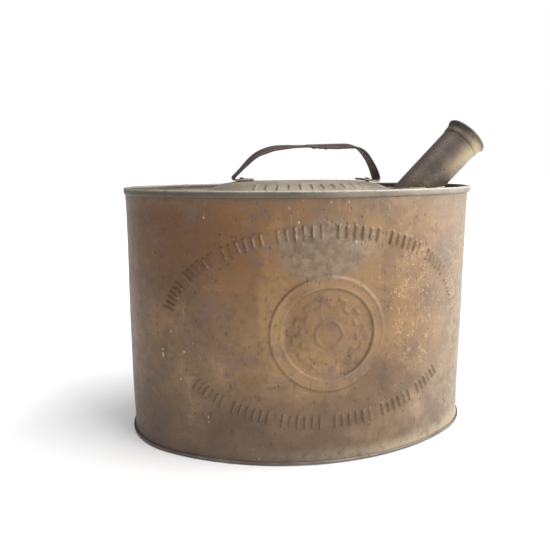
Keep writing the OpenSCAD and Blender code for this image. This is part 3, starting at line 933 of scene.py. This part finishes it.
def lacquer():
    """Copper-brown lacquer over tinplate: stained, rubbed, scratched and specked, with painted shade on the
    left, low down, at the foot's left and on the embossing's slopes, and painted light and sheen on the
    right.
    """
    n = Nodes("worn_lacquer")
    broad = n.noise(11, 3, 0.5, shift=1.3)
    cloud = n.noise(34, 5, 0.6, shift=4.1)
    grain = n.noise(210, 5, 0.65, shift=2.2)
    fine = n.noise(900, 3, 0.6, shift=7.0)
    runs = n.noise(55, 4, 0.6, where=n.stretched(1, 1, 0.12), shift=3.0)
    browns = ((0.30, (88, 69, 54)), (0.45, (112, 88, 64)), (0.56, (130, 103, 75)), (0.70, (154, 126, 93)))
    n.colour = n.ramp(cloud, browns)
    n.coat(n.between(broad, 0.46, 0.62), 0.40, (158, 123, 78))
    n.coat(n.between(runs, 0.52, 0.72), 0.40, (104, 84, 74))
    streak = n.spot((-33, -80, 108), (9, 60, 46), n.noise(60, 5, 0.7, shift=2.5))
    n.coat(streak, 0.45, (176, 142, 94))
    upper = n.times(n.between(n.axis("Z"), 0.075, 0.135), n.between(n.axis("X"), 0.03, -0.06))
    n.coat(upper, 0.65, (120, 78, 42))
    # painted shade: the left side of the wall darker, turned away from the lamp
    left = n.between(n.axis("X"), -0.005, -0.105)
    n.coat(left, 0.40, (70, 52, 38))
    bruise = n.between(n.noise(40, 7, 0.72, shift=31.0), 0.52, 0.62)
    n.coat(bruise, 0.55, (104, 85, 78))
    n.coat(n.between(grain, 0.46, 0.70), 0.42, (84, 68, 56))
    rub = n.noise(26, 6, 0.68, shift=9.4, warp=0.6)
    patch = n.spot((-3, -80, 132), (31, 60, 18), n.noise(70, 5, 0.7, shift=5.5))
    bare = n.math("MAXIMUM", n.between(rub, 0.60, 0.70), patch)
    # painted light: the right side of the wall paler, with its tin lighter and more of it bared, as sheen
    # where the lamp falls
    right = n.between(n.axis("X"), 0.045, 0.110)
    n.coat(right, 0.45, (150, 132, 112))
    bare = n.math("MAXIMUM", bare, n.times(right, n.between(rub, 0.40, 0.58)))
    tin_lit_on_right = n.mix(right, linear(140, 129, 112), linear(168, 156, 138))
    tin = n.mix(n.between(grain, 0.40, 0.62), linear(104, 96, 86), tin_lit_on_right)
    n.colour = n.mix(n.times(bare, 0.62), n.colour, tin)
    raised = n.attribute("raised")
    edge = n.attribute("edge")
    worn_top = n.times(n.between(raised, 0.55, 0.95), n.between(grain, 0.36, 0.58))
    n.coat(worn_top, 0.40, (156, 132, 102))
    # dirt and painted shade: darker on the embossing's slopes, for relief contrast
    n.coat(edge, 0.32, (70, 54, 42))
    scratch = n.noise(48, 2, 0.5, where=n.stretched(0.35, 0.35, 3.4), shift=12.0, warp=1.2)
    lines = n.ramp(scratch, ((0.488, 0), (0.499, 1), (0.505, 1), (0.515, 0)))
    lines = n.times(lines, n.between(cloud, 0.52, 0.60))
    drag = n.noise(40, 2, 0.5, where=n.stretched(2.6, 2.6, 0.4), shift=18.0, warp=0.8)
    drags = n.ramp(drag, ((0.492, 0), (0.499, 1), (0.503, 1), (0.510, 0)))
    scuffs = n.math("MAXIMUM", lines, n.times(drags, n.between(rub, 0.50, 0.58)))
    field = n.spot((59, -68, 96), (21, 40, 42), n.noise(50, 5, 0.7, shift=6.5))
    curl = n.noise(95, 3, 0.6, shift=41.0, warp=1.6)
    curls = n.ramp(curl, ((0.470, 0), (0.492, 1), (0.508, 1), (0.530, 0)))
    curls = n.times(curls, n.times(field, n.between(grain, 0.46, 0.56)))
    scuffs = n.times(scuffs, n.scaled(field, 0.8, 0.14))
    scuffs = n.math("MAXIMUM", scuffs, n.times(curls, 0.42))
    n.colour = n.mix(scuffs, n.colour, linear(198, 168, 116))
    loose = n.stretched(1, 1, 0.7)
    chips = n.times(n.specks(380, 0.30, 0.12, loose), n.between(rub, 0.53, 0.60))
    n.colour = n.mix(chips, n.colour, linear(182, 166, 138))
    pits = n.times(n.specks(430, 0.42, 0.20, loose), n.between(grain, 0.40, 0.56))
    n.coat(pits, 0.45, (66, 52, 44))
    blots = n.between(n.noise(60, 6, 0.72, shift=21.0), 0.62, 0.68)
    n.coat(blots, 0.55, (84, 62, 50))
    foot = n.attribute("foot")
    # painted reflection of the floor on the flare's middle and right, with rubbed tin there; a little
    # smoother too
    foot_sheen_and_wear = n.times(foot, n.between(grain, 0.30, 0.55))
    foot_sheen_and_wear = n.times(foot_sheen_and_wear, n.between(n.axis("X"), -0.075, 0.02))
    n.coat(foot_sheen_and_wear, 0.52, (164, 156, 130))
    # painted shade on the left of the foot's flare
    low = n.times(foot, n.between(n.axis("X"), 0.0, -0.08))
    n.coat(low, 0.4, (92, 78, 66))
    height = n.axis("Z")
    # painted shade: the wall darker towards the bottom, except at the right
    shaded_low_wall = n.times(n.between(height, 0.070, 0.004), n.between(n.axis("X"), 0.070, 0.0))
    n.coat(shaded_low_wall, 0.42, (82, 70, 62))
    # painted light: the lower right of the wall paler, where the lamp falls
    corner = n.times(n.between(height, 0.070, 0.012), n.between(n.axis("X"), 0.025, 0.085))
    corner = n.times(corner, n.between(cloud, 0.34, 0.60))
    n.coat(corner, 0.62, (164, 146, 120))
    under = n.times(n.between(height, 0.150, 0.161), n.between(grain, 0.36, 0.60))
    n.coat(under, 0.55, (118, 104, 86))
    seam = n.attribute("seam")
    n.coat(n.between(seam, 0.35, 0.95), 0.6, (96, 84, 70))
    metal = n.scaled(bare, 0.22, 0.34)
    rough = n.math("SUBTRACT", n.scaled(grain, 0.34, 0.30), n.times(foot_sheen_and_wear, 0.10))
    coarse = n.bump(n.math("SUBTRACT", grain, n.times(pits, 0.6)), 0.00030)
    uneven_face = n.bump(n.math("ADD", fine, n.times(bare, 0.8)), 0.00010, coarse)
    return n.done(Base_Color=n.colour, Metallic=metal, Roughness=rough, Normal=uneven_face)


def aged_tin(name, light, dark, rust, metal, extra=None):
    """Dull tinplate with stains, fine grain and rust spots; extra lays on any further marks."""
    n = Nodes(name)
    cloud = n.noise(38, 5, 0.6, shift=3.3)
    grain = n.noise(260, 5, 0.65, shift=1.1)
    fine = n.noise(1100, 3, 0.6, shift=6.0)
    n.colour = n.mix(n.between(cloud, 0.36, 0.64), linear(*dark), linear(*light))
    n.coat(n.between(grain, 0.48, 0.70), 0.35, dark)
    spots = n.between(n.noise(75, 6, 0.75, shift=15.0), 0.60, 0.67)
    n.coat(spots, 0.6, rust)
    specks = n.specks(300, 0.28, 0.18)
    n.coat(specks, 0.6, rust)
    if extra:
        extra(n, grain, cloud)
    metal = n.math("SUBTRACT", metal, n.times(spots, 0.3))
    rough = n.scaled(grain, 0.36, 0.28)
    coarse = n.bump(n.math("SUBTRACT", grain, n.times(specks, 0.5)), 0.00028)
    pitted = n.bump(fine, 0.00008, coarse)
    return n.done(Base_Color=n.colour, Metallic=metal, Roughness=rough, Normal=pitted)


def top_marks(n, grain, cloud):
    """Painted light and shade on the top: the seam lit and pale on the right, shaded dark on the left, with
    a painted highlight along its crest, and painted shade in the countersink behind it; worn bars, with
    dirt and painted shade on their slopes.
    """
    raised = n.attribute("raised")
    edge = n.attribute("edge")
    worn = n.times(n.between(raised, 0.5, 0.95), n.between(grain, 0.36, 0.56))
    n.coat(worn, 0.5, (190, 180, 158))
    # dirt and painted shade: darker on the slopes of the crown's bars
    n.coat(edge, 0.5, (74, 66, 52))
    # painted shade down the countersink's wall and the border beside it
    recess_shade = n.times(n.attribute("recess_shade"), n.between(grain, 0.22, 0.46))
    n.coat(recess_shade, 0.9, (62, 46, 42))
    rim = n.attribute("rim")
    across = n.math("ADD", n.axis("X"), n.times(n.math("SUBTRACT", cloud, 0.5), 0.12))
    # painted light on the seam's right side, painted shade on its left
    rim_lit_right = n.times(rim, n.between(across, 0.06, 0.13))
    dull = n.times(rim, n.between(across, 0.15, -0.09))
    n.coat(rim, 0.4, (112, 104, 94))
    # painted shade on the seam's left, then painted light on its right
    n.coat(dull, 0.8, (76, 70, 60))
    n.coat(rim_lit_right, 0.4, (150, 144, 138))
    # painted highlight along the seam's crest
    crest = n.times(rim, n.between(n.axis("Z"), 0.1643, 0.1657))
    crest = n.times(crest, n.between(grain, 0.30, 0.50))
    n.coat(crest, 0.6, (182, 178, 168))


def spout_marks(n, _, cloud):
    """A golden rubbed zone with painted light on the mouth's lower right side, painted shade on the upper
    side and darker towards the base.
    """
    height = n.math("ADD", n.axis("Z"), n.times(n.math("SUBTRACT", cloud, 0.5), 0.03))
    beside = n.math("SUBTRACT", n.times(n.axis("X"), AXIS[2]), n.times(n.axis("Z"), AXIS[0]))
    middle = MOUTH["pos_m"][0] * AXIS[2] - MOUTH["pos_m"][2] * AXIS[0]
    # golden rubbed zone near the mouth, and painted light on the tube's lower right side
    gold_and_lit_side = n.times(n.between(height, 0.174, 0.188), n.between(beside, middle - 0.001, middle + 0.008))
    n.coat(gold_and_lit_side, 0.75, (190, 172, 136))
    shaded = n.between(beside, middle + 0.003, middle - 0.009)
    n.coat(shaded, 0.55, (76, 66, 60))
    # darker towards the tube's base
    darker_near_base = n.between(height, 0.172, 0.163)
    n.coat(darker_near_base, 0.6, (72, 60, 48))


def ring_marks(n, grain, cloud):
    """The tube's marks again, with the bead darkened by rust and painted shade."""
    spout_marks(n, grain, cloud)
    # rust and painted shade: the rolled bead darker
    bead = n.times(n.attribute("bead"), n.between(grain, 0.26, 0.46))
    n.coat(bead, 0.7, (84, 76, 74))


def iron():
    """Dark brown-violet rusted iron with rubbed edges."""
    n = Nodes("dark_iron")
    cloud = n.noise(60, 5, 0.6, shift=2.0)
    grain = n.noise(420, 5, 0.7, shift=5.0)
    n.colour = n.ramp(cloud, ((0.34, (54, 42, 43)), (0.5, (74, 58, 59)), (0.66, (90, 68, 60))))
    rust = n.between(n.noise(150, 6, 0.75, shift=11.0), 0.56, 0.66)
    n.coat(rust, 0.5, (112, 70, 44))
    side = n.times(n.attribute("side"), n.between(grain, 0.42, 0.60))
    n.coat(side, 0.22, (120, 104, 96))
    tinned = n.times(n.attribute("tinned"), n.between(grain, 0.30, 0.50))
    n.coat(tinned, 0.9, (150, 139, 122))
    metal = n.math("SUBTRACT", 0.55, n.times(rust, 0.4))
    rough = n.scaled(grain, 0.4, 0.32)
    pitted = n.bump(n.noise(1500, 3, 0.6), 0.00008, n.bump(grain, 0.00035))
    return n.done(Base_Color=n.colour, Metallic=metal, Roughness=rough, Normal=pitted)


def solder():
    """Grey solder, lumpy and dull, with brown flux in its hollows."""
    n = Nodes("dull_solder")
    cloud = n.noise(160, 4, 0.6, shift=8.0)
    grain = n.noise(700, 4, 0.6, shift=1.0)
    n.colour = n.mix(n.between(cloud, 0.40, 0.62), linear(104, 98, 86), linear(158, 152, 138))
    n.coat(n.between(grain, 0.52, 0.70), 0.45, (84, 68, 50))
    rough = n.scaled(grain, 0.35, 0.32)
    lumpy = n.bump(n.math("ADD", cloud, n.times(grain, 0.3)), 0.0004)
    return n.done(Base_Color=n.colour, Metallic=0.6, Roughness=rough, Normal=lumpy)


def backdrop():
    """Plain pale paper."""
    n = Nodes("pale_paper")
    paper = n.mix(n.noise(6, 2, 0.5), linear(222, 222, 223), linear(226, 226, 226))
    return n.done(Base_Color=paper, Roughness=0.9, Specular_IOR_Level=0.1)


# ---------------- the can


def cut_spout_hole(piece):
    """Opens the top panel where the spout passes through it."""
    t = full_turn(128)
    rows = np.array([spout_point(t, SPOUT_R - 0.25, -40.0), spout_point(t, SPOUT_R - 0.25, 18.0)])
    faces = grid_faces(2, 128, True) + [list(range(128)), list(range(255, 127, -1))]
    mesh = bpy.data.meshes.new("spout_hole")
    mesh.from_pydata((rows.reshape(-1, 3) * MM).tolist(), [], faces)
    bm = bmesh.new()
    bm.from_mesh(mesh)
    bmesh.ops.recalc_face_normals(bm, faces=bm.faces)
    bm.to_mesh(mesh)
    bm.free()
    cutter = bpy.data.objects.new("spout_hole", mesh)
    bpy.context.collection.objects.link(cutter)
    cut = piece.modifiers.new("hole", "BOOLEAN")
    cut.operation = "DIFFERENCE"
    cut.solver = "EXACT"
    cut.object = cutter
    bpy.context.view_layer.update()
    shaped = bpy.data.meshes.new_from_object(piece.evaluated_get(bpy.context.evaluated_depsgraph_get()))
    piece.modifiers.clear()
    old = piece.data
    piece.data = shaped
    bpy.data.meshes.remove(old)
    bpy.data.objects.remove(cutter)
    bpy.data.meshes.remove(mesh)


def plain(s, z):
    """No embossing."""
    return np.zeros(np.broadcast(s, z).shape)


def make_walls(material):
    """The embossed front sheet and the plain back sheet, which meet in two laps."""
    half = BODY.quarter + LAP - LAP_GAP
    s = np.clip(uneven(BODY.quarter + LAP - 0.9, 104.0, 1.6, 0.66), -half, half)
    make_wall("front_wall", "front_sheet", -half, half, s, 0.68, front_relief, 11, material)
    half = BODY.quarter - LAP - LAP_GAP
    back = 2 * BODY.quarter
    s = back + uneven(half - 0.75, 20.0, 1.7, 1.7)
    make_wall("back_wall", "back_sheet", back - half, back + half, s, 1.7, plain, 15, material)


make_walls(lacquer())
top_tin = aged_tin("dull_top_tin", (158, 147, 130), (126, 116, 100), (96, 76, 58), 0.45, top_marks)
cut_spout_hole(make_top(top_tin))
make_bottom(aged_tin("foot_tin", (124, 116, 108), (92, 84, 80), (84, 66, 52), 0.45))
spout_tin = aged_tin("spout_tin", (132, 117, 102), (98, 86, 76), (76, 60, 48), 0.45, spout_marks)
make_spout(spout_tin)
ring_tin = aged_tin("ring_tin", (140, 126, 108), (104, 94, 84), (70, 58, 50), 0.45, ring_marks)
make_mouth_ring(ring_tin)
dull_solder = solder()
ring_piece("spout_base_fillet", spout_fillet, 160, ["spout_base_solder"], dull_solder)
ring_piece("mouth_collar_run", collar_solder, 144, ["mouth_ring_solder"], spout_tin)
dark_iron = iron()
make_handle(dark_iron)
make_rivets(dark_iron)
make_foot_solder(dull_solder)

for seam in ("left_seam_solder", "right_seam_solder", "top_seam_solder", "bottom_seam_solder"):
    for slot in frame["nodes"][seam].material_slots:
        slot.link = "DATA"
        slot.material = dull_solder

# ---------------- floor, light, camera


def make_floor():
    """A wide pale floor just under the can."""
    bm = bmesh.new()
    bmesh.ops.create_grid(bm, x_segments=8, y_segments=8, size=6)
    mesh = bpy.data.meshes.new("studio_floor")
    bm.to_mesh(mesh)
    bm.free()
    mesh.materials.append(backdrop())
    floor = bpy.data.objects.new("studio_floor", mesh)
    floor.location = (0, 0, cad_lo.z - 0.0002)
    bpy.context.collection.objects.link(floor)


def make_sun(name, direction, strength, spread, colour):
    """A soft distant lamp that shines along the given direction."""
    lamp = bpy.data.lights.new(name, "SUN")
    lamp.energy = strength
    lamp.angle = math.radians(spread)
    lamp.color = colour
    thing = bpy.data.objects.new(name, lamp)
    thing.rotation_mode = "QUATERNION"
    thing.rotation_quaternion = Vector(direction).to_track_quat("-Z", "Y")
    bpy.context.collection.objects.link(thing)


GLOW_LEFT = 0.04
GLOW_RIGHT = 0.62


def make_world():
    """White to the camera. As light, a surround that is dim at the left and pale at the right."""
    world = bpy.data.worlds.new("studio")
    world.use_nodes = True
    nodes = world.node_tree.nodes
    link = world.node_tree.links.new
    split = nodes.new("ShaderNodeSeparateXYZ")
    link(nodes.new("ShaderNodeTexCoord").outputs["Generated"], split.inputs["Vector"])
    glow = nodes.new("ShaderNodeMapRange")
    glow.inputs["From Min"].default_value = -1.0
    glow.inputs["To Min"].default_value = GLOW_LEFT
    glow.inputs["To Max"].default_value = GLOW_RIGHT
    link(split.outputs["X"], glow.inputs["Value"])
    strength = nodes.new("ShaderNodeMapRange")
    link(nodes.new("ShaderNodeLightPath").outputs["Is Camera Ray"], strength.inputs["Value"])
    link(glow.outputs["Result"], strength.inputs["To Min"])
    strength.inputs["To Max"].default_value = 1.0
    nodes["Background"].inputs["Color"].default_value = (1, 1, 1, 1)
    link(strength.outputs["Result"], nodes["Background"].inputs["Strength"])
    bpy.context.scene.world = world


CAMERA_AT = (-0.09152, -0.40273, 0.18035)
CAMERA_AXIS = (0.17725, 0.96666, -0.18480)
CAMERA_ROLL = 0.004009
CAMERA_LENS = 38.47


def make_camera():
    """The camera, a little above the top of the can and to its left."""
    data = bpy.data.cameras.new("photo_camera")
    data.sensor_width = 36
    data.lens = CAMERA_LENS
    data.clip_start = 0.01
    data.clip_end = 50
    camera = bpy.data.objects.new("photo_camera", data)
    bpy.context.collection.objects.link(camera)
    forward = Vector(CAMERA_AXIS).normalized()
    right = forward.cross(Vector((0, 0, 1))).normalized()
    up = right.cross(forward)
    c = math.cos(CAMERA_ROLL)
    s = math.sin(CAMERA_ROLL)
    turn = Matrix((right * c - up * s, right * s + up * c, -forward)).transposed().to_4x4()
    camera.matrix_world = Matrix.Translation(CAMERA_AT) @ turn
    bpy.context.scene.camera = camera


make_floor()
make_world()
make_sun("key", (-0.88, 0.27, -0.42), 5.8, 84, (1.0, 0.99, 0.98))
make_sun("top", (0.0, 0.1, -1.0), 2.2, 60, (1.0, 1.0, 1.0))
make_camera()
bpy.context.scene.view_settings.view_transform = "Standard"
